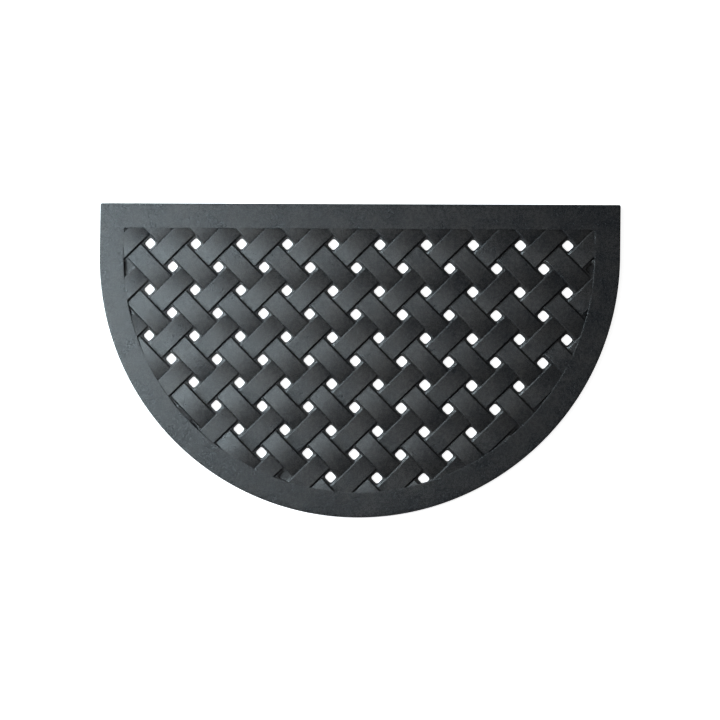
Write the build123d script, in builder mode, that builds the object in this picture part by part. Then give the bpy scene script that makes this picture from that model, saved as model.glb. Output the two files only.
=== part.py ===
"""Half-moon rubber door mat: a flat border round a plain weave of broad moulded straps.

The mat lies on the XY plane with its straight edge towards +Y. Twenty-six straps run at 45
degrees, thirteen each way, and each one passes over and under its neighbours in turn. All sizes
are in millimetres.
"""
from build123d import *
import os
from math import sqrt

# Whole mat
MAT_WIDTH = 750.0
MAT_DEPTH = 450.0
MAT_HEIGHT = 10.0

# Border
BORDER_WIDTH = 36.0
BORDER_CORNER_RADIUS = 2.5
BORDER_EDGE_RADIUS = 1.5
LEDGE_REACH = 14.5
LEDGE_HEIGHT = 3.0

# Weave: crossings and drain holes alternate on a square grid of this step
GRID_STEP = 33.5
FIRST_CROSSING_Y = 167.0
STRAPS_EACH_WAY = 13

# One strap
TILE_TOP_WIDTH = 26.4
TILE_FOOT_WIDTH = 30.0
TILE_LENGTH = 63.2
TILE_END_DROP = 2.7
FLANGE_WIDTH = 34.4
FLANGE_HEIGHT = 6.4

# Gaps that keep neighbouring pieces apart
SIDE_GAP = 0.25
LIFT_GAP = 0.25

# Worked out from the sizes above
ARC_RADIUS = MAT_WIDTH / 2
ARC_CENTRE_Y = ARC_RADIUS - MAT_DEPTH / 2
STRAP_PITCH = GRID_STEP * sqrt(2)
HOLE_WIDTH = STRAP_PITCH - FLANGE_WIDTH
NOTCH_LENGTH = FLANGE_WIDTH + 2 * SIDE_GAP
NOTCH_HEIGHT = FLANGE_HEIGHT + LIFT_GAP
STRAP_LENGTH = 2 * MAT_WIDTH
LEDGE_INSET = BORDER_WIDTH + LEDGE_REACH
GRID_REACH = 2 * STRAPS_EACH_WAY
HOLE_MARGIN = 12.0

# The drain hole that the border cuts short, as (column, row)
EDGE_DRAIN = (3, 10)


def half_moon(inset):
    """Plan outline of the mat, moved inwards by inset."""
    radius = ARC_RADIUS - inset
    straight_edge = MAT_DEPTH / 2 - inset
    with BuildSketch() as outline:
        with BuildLine():
            Polyline(
                (-radius, ARC_CENTRE_Y),
                (-radius, straight_edge),
                (radius, straight_edge),
                (radius, ARC_CENTRE_Y),
            )
            ThreePointArc(
                (radius, ARC_CENTRE_Y),
                (0, ARC_CENTRE_Y - radius),
                (-radius, ARC_CENTRE_Y),
            )
        make_face()
    return outline.sketch


def grid_point(column, row):
    """Centre of a crossing (column + row even) or of a drain hole (odd)."""
    return (column * GRID_STEP, FIRST_CROSSING_Y - row * GRID_STEP)


def wall_distance(point):
    """How far a point lies inside the border's inner outline, negative beyond it."""
    x, y = point
    inner_radius = ARC_RADIUS - BORDER_WIDTH
    if y < ARC_CENTRE_Y:
        return inner_radius - sqrt(x**2 + (y - ARC_CENTRE_Y) ** 2)
    return min(inner_radius - abs(x), MAT_DEPTH / 2 - BORDER_WIDTH - y)


def drain_holes():
    """Every drain hole that is clear of the border, and the one beside it."""
    holes = [grid_point(*EDGE_DRAIN)]
    for row in range(STRAPS_EACH_WAY):
        for column in range(-STRAPS_EACH_WAY, STRAPS_EACH_WAY + 1):
            point = grid_point(column, row)
            is_hole = (column + row) % 2 == 1
            if is_hole and wall_distance(point) > HOLE_MARGIN:
                holes.append(point)
    return holes


def make_border():
    """Border ring, with the ledge that carries the strap ends and is open at the drain holes."""
    outer = half_moon(0)
    inner = half_moon(BORDER_WIDTH)
    ledge_edge = half_moon(LEDGE_INSET)
    with BuildPart() as border:
        with BuildSketch():
            add(outer)
            add(inner, mode=Mode.SUBTRACT)
        extrude(amount=MAT_HEIGHT)
        outer_corners = border.edges().filter_by(Axis.Z).group_by(Axis.Y)[-1]
        fillet(outer_corners, BORDER_CORNER_RADIUS)
        top_edges = border.faces().sort_by(Axis.Z)[-1].outer_wire().edges()
        fillet(top_edges, BORDER_EDGE_RADIUS)
        with BuildSketch():
            add(inner)
            add(ledge_edge, mode=Mode.SUBTRACT)
            with Locations(*drain_holes()):
                Rectangle(HOLE_WIDTH, HOLE_WIDTH, rotation=45, mode=Mode.SUBTRACT)
        extrude(amount=LEDGE_HEIGHT)
    return border


def make_weave_space():
    """All the room inside the border and above its ledge, less the side gap."""
    inner = half_moon(BORDER_WIDTH)
    inner_with_gap = half_moon(BORDER_WIDTH + SIDE_GAP)
    ledge_edge_with_gap = half_moon(LEDGE_INSET + SIDE_GAP)
    with BuildPart() as space:
        with BuildSketch():
            add(inner_with_gap)
        extrude(amount=MAT_HEIGHT)
        with BuildSketch():
            add(inner)
            add(ledge_edge_with_gap, mode=Mode.SUBTRACT)
        extrude(amount=LEDGE_HEIGHT + LIFT_GAP, mode=Mode.SUBTRACT)
    return space


def make_tile():
    """Arched stretch of a strap that shows between two dives, lying along X."""
    half_length = TILE_LENGTH / 2
    half_notch = NOTCH_LENGTH / 2
    end_height = MAT_HEIGHT - TILE_END_DROP
    with BuildPart() as tile:
        with BuildSketch(Plane.XZ):
            with BuildLine():
                ThreePointArc(
                    (-half_length, end_height), (0, MAT_HEIGHT), (half_length, end_height)
                )
                Polyline(
                    (half_length, end_height),
                    (half_length, FLANGE_HEIGHT),
                    (half_notch, FLANGE_HEIGHT),
                    (half_notch, NOTCH_HEIGHT),
                    (-half_notch, NOTCH_HEIGHT),
                    (-half_notch, FLANGE_HEIGHT),
                    (-half_length, FLANGE_HEIGHT),
                    (-half_length, end_height),
                )
            make_face()
        extrude(amount=TILE_FOOT_WIDTH / 2, both=True)
        with BuildSketch(Plane.YZ):
            with BuildLine():
                Polyline(
                    (-TILE_FOOT_WIDTH / 2, FLANGE_HEIGHT),
                    (TILE_FOOT_WIDTH / 2, FLANGE_HEIGHT),
                    (TILE_TOP_WIDTH / 2, MAT_HEIGHT),
                    (-TILE_TOP_WIDTH / 2, MAT_HEIGHT),
                    close=True,
                )
            make_face()
        extrude(amount=half_length, both=True, mode=Mode.INTERSECT)
    return tile


def strap_crossings(falling, index):
    """Grid points under one strap: those it passes over, and all of them."""
    over = []
    every = []
    for step in range(-GRID_REACH, GRID_REACH + 1, 2):
        if falling:
            column, row = (step + index) // 2, (step - index) // 2
        else:
            column, row = (index + step) // 2, (index - step) // 2
        point = grid_point(column, row)
        every.append(point)
        is_odd_column = column % 2 == 1
        if is_odd_column == falling:
            over.append(point)
    return over, every


def make_strap(falling, index, tile, space):
    """One whole strap: flange bars and tiles, cut to the room inside the border.

    A cut that runs almost along the border can leave a loose sliver, which is taken away.
    """
    turn = -45 if falling else 45
    over, every = strap_crossings(falling, index)
    with BuildPart() as strap:
        with BuildSketch():
            with Locations(every[len(every) // 2]):
                Rectangle(STRAP_LENGTH, FLANGE_WIDTH, rotation=turn)
            with Locations(*over):
                Rectangle(NOTCH_LENGTH, NOTCH_LENGTH, rotation=turn, mode=Mode.SUBTRACT)
        extrude(amount=FLANGE_HEIGHT)
        with Locations(*[Location((x, y, 0), (0, 0, turn)) for x, y in over]):
            add(tile.part)
        add(space.part, mode=Mode.INTERSECT)
        slivers = strap.solids().sort_by(SortBy.VOLUME)[:-1]
        if slivers:
            add(slivers, mode=Mode.SUBTRACT)
    return strap


def strap_indices(falling):
    """Grid index of each strap in one direction, in order across the mat."""
    first = -14 if falling else -10
    return range(first, first + 2 * STRAPS_EACH_WAY, 2)


os.makedirs("parts", exist_ok=True)

border_rim = make_border()
border_rim.part.label = "border_rim"
export_step(border_rim.part, "parts/border_rim.step")

weave_space = make_weave_space()
strap_tile = make_tile()

for falling, family in [(True, "falling"), (False, "rising")]:
    for number, index in enumerate(strap_indices(falling), start=1):
        strap = make_strap(falling, index, strap_tile, weave_space)
        strap.part.label = f"{family}_strap_{number:02d}"
        export_step(strap.part, f"parts/{strap.part.label}.step")
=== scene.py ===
"""Half-moon rubber door mat: a flat border round a weave of broad moulded straps."""

from math import ceil, cos, pi, radians, sin, sqrt

import bmesh
import bpy
from bpy.props import FloatProperty, FloatVectorProperty, IntProperty, PointerProperty
from mathutils import Euler, Matrix, Vector


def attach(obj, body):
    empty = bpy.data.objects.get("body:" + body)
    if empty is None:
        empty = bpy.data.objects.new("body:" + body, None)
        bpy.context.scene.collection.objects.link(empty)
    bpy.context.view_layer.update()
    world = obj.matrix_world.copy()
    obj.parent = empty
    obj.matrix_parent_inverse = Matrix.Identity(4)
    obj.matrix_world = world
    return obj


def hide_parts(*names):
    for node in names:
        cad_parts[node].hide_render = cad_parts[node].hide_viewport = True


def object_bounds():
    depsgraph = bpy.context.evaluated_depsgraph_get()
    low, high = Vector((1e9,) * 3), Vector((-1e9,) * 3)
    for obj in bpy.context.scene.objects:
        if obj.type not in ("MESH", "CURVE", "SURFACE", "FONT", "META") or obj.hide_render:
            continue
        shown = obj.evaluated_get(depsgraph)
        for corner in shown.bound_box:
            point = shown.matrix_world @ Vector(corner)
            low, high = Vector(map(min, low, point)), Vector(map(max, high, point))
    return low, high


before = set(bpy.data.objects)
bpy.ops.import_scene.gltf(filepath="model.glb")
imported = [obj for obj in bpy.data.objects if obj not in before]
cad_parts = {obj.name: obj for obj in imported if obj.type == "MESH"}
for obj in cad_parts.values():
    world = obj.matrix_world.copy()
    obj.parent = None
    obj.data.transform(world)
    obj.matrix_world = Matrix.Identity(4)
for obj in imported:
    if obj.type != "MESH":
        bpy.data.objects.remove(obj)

bl_info = {
    "name": "Half-moon door mat",
    "version": (1, 0, 0),
    "blender": (4, 5, 0),
    "location": "3D View > Sidebar > Door Mat",
    "description": "Makes a rubber door mat: a half-moon border round a weave of moulded straps",
    "category": "Add Mesh",
}

MM = 0.001
CAD_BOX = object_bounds()
MAT_WIDTH = CAD_BOX[1].x - CAD_BOX[0].x
MAT_DEPTH = CAD_BOX[1].y - CAD_BOX[0].y
MAT_HEIGHT = CAD_BOX[1].z - CAD_BOX[0].z
ARC_RADIUS = MAT_WIDTH / 2
ARC_CENTRE_Y = ARC_RADIUS - MAT_DEPTH / 2
STRAPS_EACH_WAY = sum(name.startswith("falling_strap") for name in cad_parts)


# Sizes and finishes that a user can change

def length(name, size, description, smallest=0.0):
    """A length setting; its size is given in millimetres."""
    return FloatProperty(
        name=name, description=description, default=size * MM, min=smallest * MM,
        unit="LENGTH", precision=5,
    )


def share(name, value, description, largest=1.0):
    """A plain number from nothing up to the largest."""
    return FloatProperty(name=name, description=description, default=value, min=0.0, max=largest)


def power(name, watts, description):
    """Power of a light."""
    return FloatProperty(name=name, description=description, default=watts, min=0.0, unit="POWER")


class MatBorderSettings(bpy.types.PropertyGroup):
    """Sizes of the half-moon border and the ledge inside it."""

    width: length("Width", 36, "Width of the flat border")
    corner_radius: length("Corner radius", 2.5, "Rounding of the two corners, seen from above")
    outer_edge: length("Outer edge", 1.5, "Rounding of the outer top edge")
    inner_edge: length("Inner edge", 0.5, "Rounding of the inner top edge")
    foot_edge: length("Foot edge", 0.3, "Rounding of the edges underneath")
    ledge_reach: length("Ledge reach", 14.5, "How far the ledge reaches in under the strap ends")
    ledge_height: length("Ledge height", 3, "Height of the ledge")


class MatStrapSettings(bpy.types.PropertyGroup):
    """Sizes of the woven straps."""

    grid_step: length("Grid step", 33.5, "Distance from a crossing to the drain hole beside it", 10)
    first_row: length("First row", 22, "Distance from the border to the first row of crossings")
    tile_top: length("Top width", 26.4, "Width across the flat top of a tile")
    tile_foot: length("Foot width", 30.4, "Width across the foot of a tile")
    tile_length: length("Tile length", 63.2, "Length of a tile between two dives")
    end_drop: length("End drop", 2.6, "How much lower the ends of a tile are than its middle")
    end_draft: length("End draft", 0.4, "How far the end wall of a tile leans")
    flange_width: length("Flange width", 34.4, "Full width of a strap with its side flanges", 5)
    flange_height: length("Flange height", 6.4, "Height of the side flanges")
    top_edge: length("Top edge", 0.4, "Rounding of a tile's top edges")
    tile_corner: length("Tile corner", 0.7, "Rounding of a tile's corners, seen from above")
    foot_fillet: length("Foot fillet", 0.6, "Hollow rounding where a tile meets its flange")
    flange_edge: length("Flange edge", 0.6, "Rounding of a flange's top edge")
    hole_corner: length("Hole corner", 3.2, "Rounding in the corners of a drain hole")
    gap: length("Gap", 0.02, "Room between straps that cross")
    tuck: length("Tuck", 0.4, "How far the strap ends reach into the border")
    unevenness: length("Unevenness", 0.12, "How far the moulded surface strays from true")
    seed: IntProperty(name="Seed", description="Picks the pattern of the unevenness", default=7)


class MatRubberSettings(bpy.types.PropertyGroup):
    """Colour and finish of the rubber."""

    colour: FloatVectorProperty(
        name="Colour", description="Colour of the rubber", subtype="COLOR",
        default=(0.0115, 0.0120, 0.0137), min=0.0, max=1.0,
    )
    worn_colour: FloatVectorProperty(
        name="Worn colour", description="Colour of its greyer, browner patches", subtype="COLOR",
        default=(0.0370, 0.0315, 0.0290), min=0.0, max=1.0,
    )
    roughness: share("Roughness", 0.27, "Middle roughness of the surface")
    grain: length("Grain", 0.40, "Height of the fine grain on the straps")
    rim_grain: length("Border grain", 0.46, "Height of the fine grain on the border")
    wear: share("Wear", 0.46, "How greyed the straps are")
    rim_wear: share("Border wear", 0.30, "How greyed the border is")


class MatStageSettings(bpy.types.PropertyGroup):
    """Floor and lights."""

    floor_glow: share("Floor glow", 0.92, "Light that the white floor gives off by itself", 2.0)
    key_power: power("Key light", 15.0, "Power of the soft light high at the left")
    side_power: power("Side light", 30.0, "Power of the low light at the left")
    corner_power: power("Corner light", 22.0, "Power of the light at the far left corner")
    overhead_power: power("Overhead light", 2.5, "Power of the faint light overhead")
    room_light: share("Room light", 0.03, "Brightness of the even light from all sides", 4.0)


SETTINGS = {
    "mat_border": MatBorderSettings,
    "mat_straps": MatStrapSettings,
    "mat_rubber": MatRubberSettings,
    "mat_stage": MatStageSettings,
}


# Node trees written as expressions

class Wire:
    """An output socket on which arithmetic adds Math nodes."""

    def __init__(self, tree, socket):
        self.tree = tree
        self.socket = socket

    def math(self, operation, *values):
        return self.tree.add("ShaderNodeMath", {"operation": operation}, dict(enumerate(values)))

    def __add__(self, other):
        return self.math("ADD", self, other)

    def __radd__(self, other):
        return self.math("ADD", other, self)

    def __sub__(self, other):
        return self.math("SUBTRACT", self, other)

    def __rsub__(self, other):
        return self.math("SUBTRACT", other, self)

    def __mul__(self, other):
        return self.math("MULTIPLY", self, other)

    def __rmul__(self, other):
        return self.math("MULTIPLY", other, self)

    def __truediv__(self, other):
        return self.math("DIVIDE", self, other)

    def __lt__(self, other):
        return self.math("LESS_THAN", self, other)

    def __gt__(self, other):
        return self.math("GREATER_THAN", self, other)


class Tree:
    """A node tree that grows by one call for each node."""

    def __init__(self, nodes, links):
        self.nodes = nodes
        self.links = links

    def add(self, kind, settings=None, inputs=None, output=0):
        """New node of a kind, with its settings made first; returns a Wire from one output."""
        node = self.nodes.new(kind)
        for name, value in (settings or {}).items():
            setattr(node, name, value)
        for name, value in (inputs or {}).items():
            if isinstance(value, Wire):
                self.links.new(value.socket, node.inputs[name])
            else:
                node.inputs[name].default_value = value
        return Wire(self, node.outputs[output]) if node.outputs else None


CREASE_ANGLE = radians(28)


def geometry_tree(name, inputs):
    """New Geometry Nodes tree with named inputs; returns it and a Wire for each input."""
    group = bpy.data.node_groups.new(name, "GeometryNodeTree")
    face = group.interface
    face.new_socket("Geometry", in_out="INPUT", socket_type="NodeSocketGeometry")
    face.new_socket("Geometry", in_out="OUTPUT", socket_type="NodeSocketGeometry")
    for label, kind in inputs.items():
        face.new_socket(label, in_out="INPUT", socket_type=f"NodeSocket{kind}")
    tree = Tree(group.nodes, group.links)
    start = group.nodes.new("NodeGroupInput")
    wires = {socket.name: Wire(tree, socket) for socket in start.outputs if socket.name}
    return group, tree, wires


def finish_geometry_tree(group, tree, geometry, material):
    """Smooth faces with sharp creases, then real meshes and their material."""
    edge_angle = tree.add("GeometryNodeInputMeshEdgeAngle")
    smooth = tree.add("GeometryNodeSetShadeSmooth", {"domain": "FACE"}, {
        "Geometry": geometry, "Shade Smooth": True,
    })
    creased = tree.add("GeometryNodeSetShadeSmooth", {"domain": "EDGE"}, {
        "Geometry": smooth, "Selection": edge_angle > CREASE_ANGLE, "Shade Smooth": False,
    })
    real = tree.add("GeometryNodeRealizeInstances", {}, {"Geometry": creased})
    painted = tree.add("GeometryNodeSetMaterial", {}, {"Geometry": real, "Material": material})
    end = group.nodes.new("NodeGroupOutput")
    group.links.new(painted.socket, end.inputs["Geometry"])


def object_geometry(tree, thing):
    """Mesh of a helper object."""
    return tree.add("GeometryNodeObjectInfo", {}, {"Object": thing}, "Geometry")


def inside_room(tree, shape, room):
    """The part of a shape that lies inside a closed room."""
    space = object_geometry(tree, room)
    shared = tree.add("GeometryNodeMeshBoolean", {
        "operation": "INTERSECT", "solver": "MANIFOLD",
    }, {"Mesh 2": shape})
    tree.links.new(space.socket, shared.socket.node.inputs["Mesh 2"])
    return shared


def grow(name, mesh, group, values):
    """Runs a tree on a mesh and keeps the result as a plain mesh object."""
    piece = bpy.data.objects.new(name, mesh)
    bpy.context.scene.collection.objects.link(piece)
    modifier = piece.modifiers.new("Growth", "NODES")
    modifier.node_group = group
    for socket in group.interface.items_tree:
        if socket.in_out == "INPUT" and socket.name in values:
            modifier[socket.identifier] = values[socket.name]
    depsgraph = bpy.context.evaluated_depsgraph_get()
    grown = bpy.data.meshes.new_from_object(piece.evaluated_get(depsgraph), depsgraph=depsgraph)
    piece.modifiers.clear()
    piece.data = grown
    grown.name = name
    if not grown.polygons:
        raise RuntimeError(f"{name} came out empty")
    return piece


# Outlines and lofts

ARC_STEPS, SIDE_STEPS, CORNER_STEPS, TOP_STEPS = 192, 3, 6, 48
SAME_POINT = 0.004 * MM


def bend(start, corner, end, steps):
    """Points that round a corner, from start to end."""
    points = []
    for step in range(steps + 1):
        t = step / steps
        a, b, c = (1 - t) ** 2, 2 * t * (1 - t), t**2
        points.append(tuple(a * p + b * q + c * r for p, q, r in zip(start, corner, end)))
    return points


def half_moon(inset, corner_radius=0.0):
    """Plan outline of the mat moved inwards, always with the same number of points."""
    radius = ARC_RADIUS - inset
    top = MAT_DEPTH / 2 - inset
    round_off = max(corner_radius - inset, 0.0)
    points = []
    for step in range(ARC_STEPS + 1):
        angle = pi + pi * step / ARC_STEPS
        points.append((radius * cos(angle), ARC_CENTRE_Y + radius * sin(angle)))
    side_end = top - round_off
    right_side = [
        (radius, ARC_CENTRE_Y + (side_end - ARC_CENTRE_Y) * step / SIDE_STEPS)
        for step in range(1, SIDE_STEPS)
    ]
    right_corner = [
        (
            radius - round_off + round_off * cos(pi / 2 * step / CORNER_STEPS),
            side_end + round_off * sin(pi / 2 * step / CORNER_STEPS),
        )
        for step in range(CORNER_STEPS + 1)
    ]
    top_reach = radius - round_off
    top_edge = [
        (top_reach * (1 - 2 * step / TOP_STEPS), top) for step in range(1, TOP_STEPS)
    ]
    left = [(-x, y) for x, y in reversed(right_side + right_corner)]
    return points + right_side + right_corner + top_edge + left


def loft(name, rings, ends):
    """Mesh through rings of equal size. Its ends are joined, capped or left open."""
    count = len(rings[0])
    points = [point for ring in rings for point in ring]
    spans = len(rings) if ends == "joined" else len(rings) - 1
    faces = []
    for span in range(spans):
        near = span * count
        far = (span + 1) % len(rings) * count
        for step in range(count):
            following = (step + 1) % count
            faces.append((near + step, near + following, far + following, far + step))
    if ends == "capped":
        faces.append(tuple(range(count)))
        faces.append(tuple(range(len(points) - count, len(points))))
    mesh = bpy.data.meshes.new(name)
    mesh.from_pydata(points, [], faces)
    clean = bmesh.new()
    clean.from_mesh(mesh)
    bmesh.ops.remove_doubles(clean, verts=clean.verts, dist=SAME_POINT)
    bmesh.ops.recalc_face_normals(clean, faces=clean.faces)
    clean.to_mesh(mesh)
    clean.free()
    return mesh


def half_moon_loft(name, profile, ends, corner_radius=0.0):
    """Loft of half-moon outlines through a profile of (inset, height)."""
    rings = [
        [(x, y, height) for x, y in half_moon(inset, corner_radius)] for inset, height in profile
    ]
    return loft(name, rings, ends)


# The grid of crossings and drain holes

def grid_point(column, row):
    """Centre of a crossing (column + row even) or of a drain hole (odd)."""
    straps = bpy.context.scene.mat_straps
    border = bpy.context.scene.mat_border
    first_y = MAT_DEPTH / 2 - border.width - straps.first_row
    return Vector((column * straps.grid_step, first_y - row * straps.grid_step, 0.0))


def inside_depth(point):
    """How far a point lies inside the border's inner outline, negative beyond it."""
    border = bpy.context.scene.mat_border
    if point.y < ARC_CENTRE_Y:
        return ARC_RADIUS - border.width - sqrt(point.x**2 + (point.y - ARC_CENTRE_Y) ** 2)
    across = ARC_RADIUS - border.width - abs(point.x)
    return min(across, MAT_DEPTH / 2 - border.width - point.y)


EDGE_DRAIN = (3, 10)
DRAIN_MARGIN = 12 * MM


def ledge_drains():
    """Drain holes that cut into the ledge, with the one that the border itself cuts short."""
    border = bpy.context.scene.mat_border
    straps = bpy.context.scene.mat_straps
    places = [grid_point(*EDGE_DRAIN)]
    reach = border.ledge_reach + straps.flange_width / 2
    for row in range(STRAPS_EACH_WAY):
        for column in range(-STRAPS_EACH_WAY, STRAPS_EACH_WAY + 1):
            place = grid_point(column, row)
            if (column + row) % 2 == 1 and DRAIN_MARGIN < inside_depth(place) < reach:
                places.append(place)
    return places


# Border

FLAT_STATIONS = (0.12, 0.4, 0.7, 0.94)
FILLET_STEPS = 4


def border_profile(border):
    """Section of the border and its ledge as (inset, height), all the way round."""
    foot = border.foot_edge
    outer = border.outer_edge
    inner = border.inner_edge
    ledge_end = border.width + border.ledge_reach
    flat_width = border.width - outer - inner
    return [
        (foot, 0.0),
        (0.0, foot),
        (0.0, MAT_HEIGHT - 2 * outer),
        *bend((0.0, MAT_HEIGHT - outer), (0.0, MAT_HEIGHT), (outer, MAT_HEIGHT), 6),
        *[(outer + part * flat_width, MAT_HEIGHT) for part in FLAT_STATIONS],
        *bend(
            (border.width - inner, MAT_HEIGHT), (border.width, MAT_HEIGHT),
            (border.width, MAT_HEIGHT - inner), 4,
        ),
        (border.width, border.ledge_height + foot),
        (border.width + foot, border.ledge_height),
        (ledge_end - foot, border.ledge_height),
        (ledge_end, border.ledge_height - foot),
        (ledge_end, foot),
        (ledge_end - foot, 0.0),
    ]


def drain_cutter_tree():
    """Cuts rounded square holes through the ledge at a set of places."""
    group, tree, given = geometry_tree("ledge drains", {
        "Places": "Object", "Room": "Object", "Hole width": "Float", "Corner radius": "Float",
        "Half height": "Float", "Turn": "Rotation", "Material": "Material",
    })
    square = tree.add("GeometryNodeCurvePrimitiveQuadrilateral", {}, {
        "Width": given["Hole width"], "Height": given["Hole width"],
    })
    outline = tree.add("GeometryNodeFilletCurve", {"mode": "POLY"}, {
        "Curve": square, "Radius": given["Corner radius"], "Count": FILLET_STEPS,
    })
    low = tree.add("ShaderNodeCombineXYZ", {}, {"Z": given["Half height"] * -1.0})
    high = tree.add("ShaderNodeCombineXYZ", {}, {"Z": given["Half height"]})
    line = tree.add("GeometryNodeCurvePrimitiveLine", {}, {"Start": low, "End": high})
    prism = tree.add("GeometryNodeCurveToMesh", {}, {
        "Curve": line, "Profile Curve": outline, "Fill Caps": True,
    })
    cutters = tree.add("GeometryNodeInstanceOnPoints", {}, {
        "Points": object_geometry(tree, given["Places"]), "Instance": prism,
        "Rotation": given["Turn"],
    })
    real_cutters = tree.add("GeometryNodeRealizeInstances", {}, {"Geometry": cutters})
    inside = inside_room(tree, real_cutters, given["Room"])
    cut = tree.add("GeometryNodeMeshBoolean", {
        "operation": "DIFFERENCE", "solver": "MANIFOLD",
    }, {"Mesh 1": given["Geometry"], "Mesh 2": inside})
    finish_geometry_tree(group, tree, cut, given["Material"])
    return group


class MAT_OT_border(bpy.types.Operator):
    """Makes the half-moon border with its ledge and drain holes"""

    bl_idname = "door_mat.border"
    bl_label = "Make Border"

    def execute(self, context):
        border = context.scene.mat_border
        straps = context.scene.mat_straps
        finish = context.scene.mat_rubber
        ring = half_moon_loft("rim ring", border_profile(border), "joined", border.corner_radius)
        room = helper("rim room", half_moon_loft(
            "rim room", [(border.width, -MAT_HEIGHT), (border.width, 2 * MAT_HEIGHT)], "capped",
        ))
        points = bpy.data.meshes.new("drain places")
        points.from_pydata(ledge_drains(), [], [])
        places = helper("drain places", points)
        hole_width = straps.grid_step * sqrt(2) - straps.flange_width
        group = drain_cutter_tree()
        rim = grow("moulded_rim", ring, group, {
            "Places": places, "Room": room, "Hole width": hole_width,
            "Corner radius": straps.hole_corner, "Half height": 3 * MAT_HEIGHT,
            "Turn": Euler((0.0, 0.0, radians(45))),
            "Material": rubber("rim rubber", finish.rim_grain, finish.rim_wear),
        })
        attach(rim, "root")
        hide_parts("border_rim")
        remove_helpers(room, places)
        bpy.data.node_groups.remove(group)
        return {"FINISHED"}


def helper(name, mesh):
    """Object that a tree reads and that is removed afterwards."""
    made = bpy.data.objects.new(name, mesh)
    bpy.context.scene.collection.objects.link(made)
    made.hide_render = True
    return made


def remove_helpers(*helpers):
    """Takes helper objects away with their meshes."""
    for made in helpers:
        mesh = made.data
        bpy.data.objects.remove(made)
        bpy.data.meshes.remove(mesh)


# Straps

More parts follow.
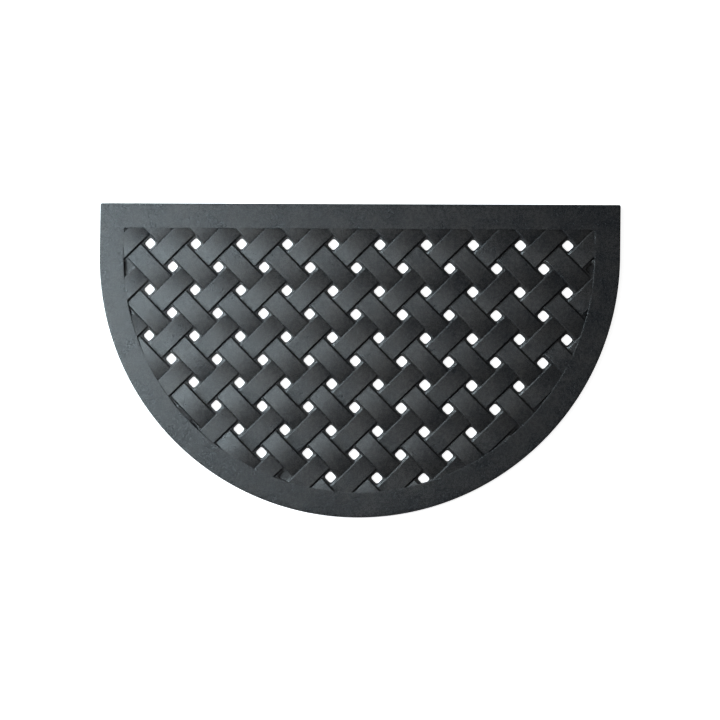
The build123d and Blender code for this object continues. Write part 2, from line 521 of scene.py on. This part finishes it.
class StrapForm:
    """Shape of one strap round a tile, as sections across it."""

    BEND_STEPS = 3
    LARGEST_BEND = 0.4  # of a wall's height
    LAST_BEND = 0.7  # of the hollow rounding, where a notched section starts
    FOOT_BEVEL = 0.3 * MM
    EDGE_STRIP = 0.6 * MM
    HAIR = 0.02 * MM
    NOTCH_STATIONS = (0.0, 5 * MM, 10 * MM, 14 * MM)
    TILE_STATIONS = (20 * MM, 24 * MM)
    DIVE_STATIONS = (38 * MM, 43 * MM)

    def __init__(self, sizes):
        self.pitch = sizes.grid_step * sqrt(2)
        self.top_half = sizes.tile_top / 2
        self.foot_half = sizes.tile_foot / 2
        self.half_length = sizes.tile_length / 2
        self.end_drop = sizes.end_drop
        self.end_draft = sizes.end_draft
        self.flange_half = sizes.flange_width / 2
        self.flange_height = sizes.flange_height
        self.top_edge = sizes.top_edge
        self.tile_corner = sizes.tile_corner
        self.foot_fillet = sizes.foot_fillet
        self.flange_edge = sizes.flange_edge
        self.hole_corner = sizes.hole_corner
        self.notch_half = self.flange_half + sizes.gap
        self.notch_height = self.flange_height + sizes.gap

    def crown(self, distance):
        """Height of the strap's top at a distance from the middle of its tile."""
        past_end = distance - self.half_length
        arch = MAT_HEIGHT - self.end_drop * min(distance / self.half_length, 1.0) ** 2
        into_edge = min(past_end, 0.0) + self.top_edge
        if into_edge > 0:
            arch -= self.top_edge - sqrt(max(self.top_edge**2 - into_edge**2, 0.0))
        if past_end <= 0:
            return arch
        fillet_top = self.flange_height + self.foot_fillet
        if past_end <= self.end_draft:
            return arch + (fillet_top - arch) * past_end / self.end_draft
        into_fillet = self.foot_fillet + self.end_draft - past_end
        if into_fillet > 0:
            return fillet_top - sqrt(max(self.foot_fillet**2 - into_fillet**2, 0.0))
        return self.flange_height

    def corner_trim(self, distance, end, radius):
        """How much a tile is narrower at a distance, where its corners are rounded."""
        into_corner = min(distance, end) - (end - radius)
        if into_corner <= 0:
            return 0.0
        return radius - sqrt(max(radius**2 - into_corner**2, 0.0))

    def web(self, distance):
        """Extra flange width that rounds the corner of a drain hole."""
        from_crossing = self.pitch - distance
        short = self.flange_half + self.hole_corner - from_crossing
        if short <= 0:
            return 0.0
        radius = self.hole_corner
        return radius - sqrt(max(radius**2 - min(short, radius) ** 2, 0.0))

    def half_section(self, distance, cut=0, webbed=False):
        """One side of the section, as (across, height), from the underside up to the crown.

        cut 2 leaves only the tile over the notch, and cut 1 lies between, to close the step.
        """
        top = self.crown(distance)
        rise = top - self.flange_height
        edge = min(self.top_edge, self.LARGEST_BEND * rise)
        fillet = min(self.foot_fillet, self.LARGEST_BEND * rise)
        top_half = self.top_half - self.corner_trim(distance, self.half_length, self.tile_corner)
        foot_half = self.foot_half - self.corner_trim(
            distance, self.half_length + self.end_draft, self.tile_corner + self.end_draft
        )

        def wall(height):
            part = (height - self.flange_height) / rise if rise > 0 else 1.0
            return foot_half + (top_half - foot_half) * part

        flange = self.flange_half + (self.web(distance) if webbed else 0.0)
        low = self.flange_height
        foot = bend(
            (foot_half + fillet, low), (foot_half, low), (wall(low + fillet), low + fillet),
            self.BEND_STEPS,
        )
        shoulder = bend(
            (flange, low - self.flange_edge), (flange, low), (flange - self.flange_edge, low),
            self.BEND_STEPS,
        )
        bevel = self.FOOT_BEVEL
        below = [(flange - bevel, 0.0), (flange, bevel), *shoulder, *foot[:-1]]
        notch = self.notch_height
        if cut:
            parts = [step / (len(below) - 2) for step in range(len(below) - 1)]
            if cut == 2:
                below = [(foot_half * (1 + part) / 2, notch) for part in parts]
            else:
                below = [(foot_half, notch * part) for part in parts]
            last = low + self.LAST_BEND * fillet
            below.append((wall(last), last))
        top_edge = bend(
            (wall(top - edge), top - edge), (top_half, top), (top_half - edge, top),
            self.BEND_STEPS,
        )
        strip = top_half - edge - self.EDGE_STRIP
        across = [(strip, top), (top_half / 2, top), (0.0, top)]
        middle = (0.0, notch if cut == 2 else 0.0)
        return [middle, *below, foot[-1], *top_edge, *across]

    def stations(self):
        """Distances from a tile's middle where sections are drawn: (distance, cut, webbed)."""
        end = self.half_length
        wall_foot = end + self.end_draft
        edge_start = end - self.top_edge
        web_end = self.pitch - self.flange_half
        edge = [sin(radians(turn)) for turn in (25, 50, 70, 90)]
        fillet = [1 - cos(radians(turn)) for turn in (0, 35, 65, 90)]
        web = [1 - sin(radians(turn)) for turn in (0, 30, 55, 75, 90)]
        plain = [
            *self.TILE_STATIONS, edge_start - self.EDGE_STRIP, edge_start,
            *[edge_start + self.top_edge * part for part in edge],
            *[wall_foot + self.foot_fillet * part for part in fillet],
            *self.DIVE_STATIONS, self.pitch,
        ]
        found = [(distance, 0, False) for distance in plain]
        found += [(web_end - self.hole_corner * part - self.HAIR, 0, True) for part in web]
        found.append((web_end - 0.95 * self.HAIR, 0, False))
        found.sort()
        start = [(distance, 2, False) for distance in (*self.NOTCH_STATIONS, self.notch_half)]
        return start + [(self.notch_half, 1, False), (self.notch_half, 0, False)] + found

    def mesh(self):
        """One repeat of the strap along X: half a dive, a tile and half a dive."""
        ahead = self.stations()
        back = [(-distance, cut, webbed) for distance, cut, webbed in reversed(ahead[1:])]
        rings = []
        for distance, cut, webbed in back + ahead:
            half = self.half_section(abs(distance), cut, webbed)
            section = half + [(-across, height) for across, height in reversed(half[1:-1])]
            rings.append([(distance, across, height) for across, height in section])
        return loft("strap repeat", rings, "open")


WELD_REACH = 0.01 * MM
WANDER_SCALE = 22.0
FIRST_FALLING, FIRST_RISING = -14, -10


def woven_strap_tree():
    """Repeats a strap's tile along a line, closes its ends and trims it to the mat."""
    group, tree, given = geometry_tree("woven strap", {
        "Repeats": "Int", "Repeat length": "Float", "Middle": "Vector", "Turn": "Rotation",
        "Room": "Object", "Half height": "Float", "Unevenness": "Float", "Seed": "Float",
        "Material": "Material",
    })
    back = given["Repeat length"] * (given["Repeats"] - 1.0) * -0.5
    start = tree.add("ShaderNodeCombineXYZ", {}, {"X": back})
    step = tree.add("ShaderNodeCombineXYZ", {}, {"X": given["Repeat length"]})
    line = tree.add("GeometryNodeMeshLine", {"mode": "OFFSET"}, {
        "Count": given["Repeats"], "Start Location": start, "Offset": step,
    })
    repeats = tree.add("GeometryNodeInstanceOnPoints", {}, {
        "Points": line, "Instance": given["Geometry"],
    })
    strap = tree.add("GeometryNodeRealizeInstances", {}, {"Geometry": repeats})
    strap = tree.add("GeometryNodeMergeByDistance", {}, {
        "Geometry": strap, "Distance": WELD_REACH,
    })
    faces_beside = tree.add("GeometryNodeInputMeshEdgeNeighbors")
    at_end = tree.add("GeometryNodeFieldOnDomain", {"domain": "EDGE", "data_type": "BOOLEAN"}, {
        "Value": faces_beside < 1.5,
    })
    where = tree.add("GeometryNodeInputPosition")
    along = tree.add("ShaderNodeSeparateXYZ", {}, {"Vector": where})
    tip = tree.add("ShaderNodeCombineXYZ", {}, {"X": along, "Z": given["Half height"]})
    strap = tree.add("GeometryNodeSetPosition", {}, {
        "Geometry": strap, "Selection": at_end, "Position": tip,
    })
    strap = tree.add("GeometryNodeMergeByDistance", {}, {
        "Geometry": strap, "Distance": WELD_REACH,
    })
    strap = tree.add("GeometryNodeTransform", {}, {
        "Geometry": strap, "Translation": given["Middle"], "Rotation": given["Turn"],
    })
    strap = tree.add("GeometryNodeSetPosition", {}, {
        "Geometry": strap, "Offset": unevenness(tree, where, given),
    })
    trimmed = inside_room(tree, strap, given["Room"])
    finish_geometry_tree(group, tree, trimmed, given["Material"])
    return group


def unevenness(tree, where, given):
    """Small wander of a moulded surface, none at the underside."""
    slow = tree.add("ShaderNodeTexNoise", {"noise_dimensions": "4D"}, {
        "Vector": where, "W": given["Seed"], "Scale": WANDER_SCALE, "Detail": 2.0,
    }, "Color")
    centred = tree.add("ShaderNodeVectorMath", {"operation": "SUBTRACT"}, {
        0: slow, 1: (0.5, 0.5, 0.5),
    })
    height = tree.add("ShaderNodeSeparateXYZ", {}, {"Vector": where}, "Z")
    strength = given["Unevenness"] * 2.0 * tree.add("ShaderNodeMath", {
        "operation": "DIVIDE", "use_clamp": True,
    }, {0: height, 1: MAT_HEIGHT / 2})
    return tree.add("ShaderNodeVectorMath", {"operation": "SCALE"}, {
        0: centred, "Scale": strength,
    })


def strap_indices(falling):
    """Grid index of each strap in one direction, in order across the mat."""
    first = FIRST_FALLING if falling else FIRST_RISING
    return range(first, first + 2 * STRAPS_EACH_WAY, 2)


def strap_run(falling, index):
    """Middle of a strap's middle tile, and how far the strap reaches from it."""
    over = []
    inside = []
    for step in range(-2 * STRAPS_EACH_WAY, 2 * STRAPS_EACH_WAY + 1, 2):
        if falling:
            column, row = (step + index) // 2, (step - index) // 2
        else:
            column, row = (index + step) // 2, (index - step) // 2
        point = grid_point(column, row)
        if (column % 2 == 1) == falling:
            over.append(point)
        if inside_depth(point) > -bpy.context.scene.mat_straps.grid_step:
            inside.append(point)
    middle = (inside[0] + inside[-1]) / 2
    nearest = min(over, key=lambda point: (point - middle).length)
    return nearest, max((inside[0] - nearest).length, (inside[-1] - nearest).length)


class MAT_OT_straps(bpy.types.Operator):
    """Makes the woven straps in both directions"""

    bl_idname = "door_mat.straps"
    bl_label = "Make Straps"

    def execute(self, context):
        sizes = context.scene.mat_straps
        border = context.scene.mat_border
        form = StrapForm(sizes)
        repeat = form.mesh()
        group = woven_strap_tree()
        under = border.width + border.ledge_reach + sizes.gap
        over = border.width - sizes.tuck
        step_height = border.ledge_height + sizes.gap
        room = helper("strap room", half_moon_loft("strap room", [
            (under, -MAT_HEIGHT), (under, step_height), (over, step_height), (over, 2 * MAT_HEIGHT),
        ], "capped"))
        finish = context.scene.mat_rubber
        material = rubber("strap rubber", finish.grain, finish.wear)
        for falling, family in [(True, "falling"), (False, "rising")]:
            for number, index in enumerate(strap_indices(falling), start=1):
                middle, reach = strap_run(falling, index)
                repeat_length = 2 * form.pitch
                repeats = 2 * ceil(reach / repeat_length + 0.5) + 1
                strap = grow(f"{family}_rubber_strap_{number:02d}", repeat.copy(), group, {
                    "Repeats": repeats, "Repeat length": repeat_length, "Middle": middle,
                    "Turn": Euler((0.0, 0.0, radians(-45 if falling else 45))),
                    "Room": room, "Half height": sizes.flange_height / 2,
                    "Unevenness": sizes.unevenness, "Seed": float(sizes.seed),
                    "Material": material,
                })
                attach(strap, "root")
                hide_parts(f"{family}_strap_{number:02d}")
        remove_helpers(room)
        bpy.data.meshes.remove(repeat)
        bpy.data.node_groups.remove(group)
        return {"FINISHED"}


# Rubber

GRAIN_SIZE = 1.3 * MM
MOTTLE_SIZE = 5 * MM
MOTTLE_HEIGHT = 0.12 * MM
CLOUD_SIZE = 28 * MM
PIT_SPACING = 9 * MM
PIT_REACH = 0.055  # of the spacing
PIT_DEPTH = 0.2 * MM
PIT_RARITY = 0.92


def shader_tree(name):
    """New material with an empty tree."""
    material = bpy.data.materials.new(name)
    material.use_nodes = True
    nodes = material.node_tree.nodes
    nodes.clear()
    return material, Tree(nodes, material.node_tree.links)


def rubber(name, grain_height, wear):
    """Black semi-gloss rubber with a fine grain, faint mottling and a few pits."""
    finish = bpy.context.scene.mat_rubber
    material, tree = shader_tree(name)
    place = tree.add("ShaderNodeTexCoord", {}, {}, "Object")

    def noise(size):
        return tree.add("ShaderNodeTexNoise", {}, {
            "Vector": place, "Scale": 1 / size, "Detail": 2.0, "Roughness": 0.6,
        })

    def pits(output):
        return tree.add("ShaderNodeTexVoronoi", {}, {
            "Vector": place, "Scale": 1 / PIT_SPACING,
        }, output)

    def sway(grain_part, mottle_part, cloud_part):
        return (
            (grain - 0.5) * grain_part + (mottle - 0.5) * mottle_part + (cloud - 0.5) * cloud_part
        )

    grain = noise(GRAIN_SIZE)
    mottle = noise(MOTTLE_SIZE)
    cloud = noise(CLOUD_SIZE)
    pick = tree.add("ShaderNodeSeparateColor", {}, {"Color": pits("Color")}, "Red")
    pit = (pits("Distance") < PIT_REACH) * (pick > PIT_RARITY)
    greyness = tree.add("ShaderNodeClamp", {}, {"Value": sway(0.9, 0.8, 1.4) + wear})
    colour = tree.add("ShaderNodeMix", {"data_type": "RGBA"}, {
        "Factor": greyness, "A": (*finish.colour, 1.0), "B": (*finish.worn_colour, 1.0),
    }, 2)
    relief = grain * grain_height + mottle * MOTTLE_HEIGHT - pit * PIT_DEPTH
    bump = tree.add("ShaderNodeBump", {}, {"Height": relief, "Distance": 1.0, "Strength": 1.0})
    surface = tree.add("ShaderNodeBsdfPrincipled", {}, {
        "Base Color": colour, "Roughness": sway(0.3, 0.16, 0.06) + finish.roughness,
        "Normal": bump,
    })
    tree.add("ShaderNodeOutputMaterial", {}, {"Surface": surface})
    return material


# Stage

CAMERA_DISTANCE = 2.0
CAMERA_LENS = 69.42
CAMERA_LOOK = Vector((6.7 * MM, 0.9 * MM, 0.0))
CAMERA_TILT = (radians(-1.0), radians(-4.2), radians(-0.76))
KEY_PLACE = (-1.0, 0.1, 1.4)
SIDE_PLACE = (-1.6, 0.1, 0.35)
CORNER_PLACE = (-1.1, 1.0, 0.8)
OVERHEAD_PLACE = (-0.4, 0.1, 1.6)
SOFT_LIGHT_SIZE = 0.45
FLOOR_HALF = 4.0
COOL_LIGHT = (0.83, 1.0, 1.08)
WHITE_LIGHT = (1.0, 1.0, 1.0)


def soft_light(name, place, watts, colour):
    """Square soft light that faces the middle of the mat."""
    light = bpy.data.lights.new(name, "AREA")
    light.size = SOFT_LIGHT_SIZE
    light.energy = watts
    light.color = colour
    lamp = bpy.data.objects.new(name, light)
    turn = (-Vector(place)).to_track_quat("-Z", "Y").to_matrix().to_4x4()
    lamp.matrix_world = Matrix.Translation(place) @ turn
    bpy.context.scene.collection.objects.link(lamp)


def white_floor(stage):
    """Plain white floor that glows a little, like a light table."""
    half = FLOOR_HALF
    mesh = bpy.data.meshes.new("floor")
    corners = [(-half, -half, 0), (half, -half, 0), (half, half, 0), (-half, half, 0)]
    mesh.from_pydata(corners, [], [(0, 1, 2, 3)])
    material, tree = shader_tree("white floor")
    surface = tree.add("ShaderNodeBsdfPrincipled", {}, {
        "Base Color": (0.8, 0.8, 0.8, 1.0), "Roughness": 0.9, "Specular IOR Level": 0.0,
        "Emission Color": (1.0, 1.0, 1.0, 1.0), "Emission Strength": stage.floor_glow,
    })
    tree.add("ShaderNodeOutputMaterial", {}, {"Surface": surface})
    mesh.materials.append(material)
    floor = bpy.data.objects.new("floor", mesh)
    floor.visible_diffuse = False
    floor.visible_glossy = False
    bpy.context.scene.collection.objects.link(floor)
    return floor


def overhead_camera():
    """Camera almost straight above the mat."""
    lens = bpy.data.cameras.new("camera")
    lens.sensor_width = 36.0
    lens.lens = CAMERA_LENS
    lens.clip_start = 0.01
    camera = bpy.data.objects.new("camera", lens)
    tilt_x, tilt_y, tilt_z = CAMERA_TILT
    turn = (
        Matrix.Rotation(tilt_x, 3, "X") @ Matrix.Rotation(tilt_y, 3, "Y")
        @ Matrix.Rotation(tilt_z, 3, "Z")
    ).transposed()
    place = CAMERA_LOOK + turn @ Vector((0.0, 0.0, CAMERA_DISTANCE))
    camera.matrix_world = Matrix.Translation(place) @ turn.to_4x4()
    bpy.context.scene.collection.objects.link(camera)
    return camera


class MAT_OT_stage(bpy.types.Operator):
    """Sets up the floor, the lights and the camera"""

    bl_idname = "door_mat.stage"
    bl_label = "Set Up Stage"

    def execute(self, context):
        stage = context.scene.mat_stage
        white_floor(stage)
        soft_light("key light", KEY_PLACE, stage.key_power, COOL_LIGHT)
        soft_light("side light", SIDE_PLACE, stage.side_power, COOL_LIGHT)
        soft_light("corner light", CORNER_PLACE, stage.corner_power, COOL_LIGHT)
        soft_light("overhead light", OVERHEAD_PLACE, stage.overhead_power, WHITE_LIGHT)
        world = bpy.data.worlds.new("room")
        world.use_nodes = True
        backdrop = world.node_tree.nodes["Background"]
        backdrop.inputs["Color"].default_value = (1.0, 1.0, 1.0, 1.0)
        backdrop.inputs["Strength"].default_value = stage.room_light
        context.scene.world = world
        context.scene.camera = overhead_camera()
        context.scene.view_settings.view_transform = "Standard"
        return {"FINISHED"}


# Panel and registration

OPERATORS = (MAT_OT_border, MAT_OT_straps, MAT_OT_stage)


class VIEW3D_PT_door_mat(bpy.types.Panel):
    """Sidebar panel with the mat's settings and steps"""

    bl_label = "Door Mat"
    bl_space_type = "VIEW_3D"
    bl_region_type = "UI"
    bl_category = "Door Mat"

    def draw(self, context):
        layout = self.layout
        for name, group in SETTINGS.items():
            box = layout.box()
            settings = getattr(context.scene, name)
            for field in group.__annotations__:
                box.prop(settings, field)
        for operator in OPERATORS:
            layout.operator(operator.bl_idname)


def register():
    for kind in (*SETTINGS.values(), *OPERATORS, VIEW3D_PT_door_mat):
        bpy.utils.register_class(kind)
    for name, group in SETTINGS.items():
        setattr(bpy.types.Scene, name, PointerProperty(type=group))


def unregister():
    for name in SETTINGS:
        delattr(bpy.types.Scene, name)
    for kind in (VIEW3D_PT_door_mat, *OPERATORS, *SETTINGS.values()):
        bpy.utils.unregister_class(kind)


def main():
    """Makes the whole mat and its stage."""
    register()
    bpy.ops.door_mat.border()
    bpy.ops.door_mat.straps()
    bpy.ops.door_mat.stage()


if __name__ == "__main__":
    main()
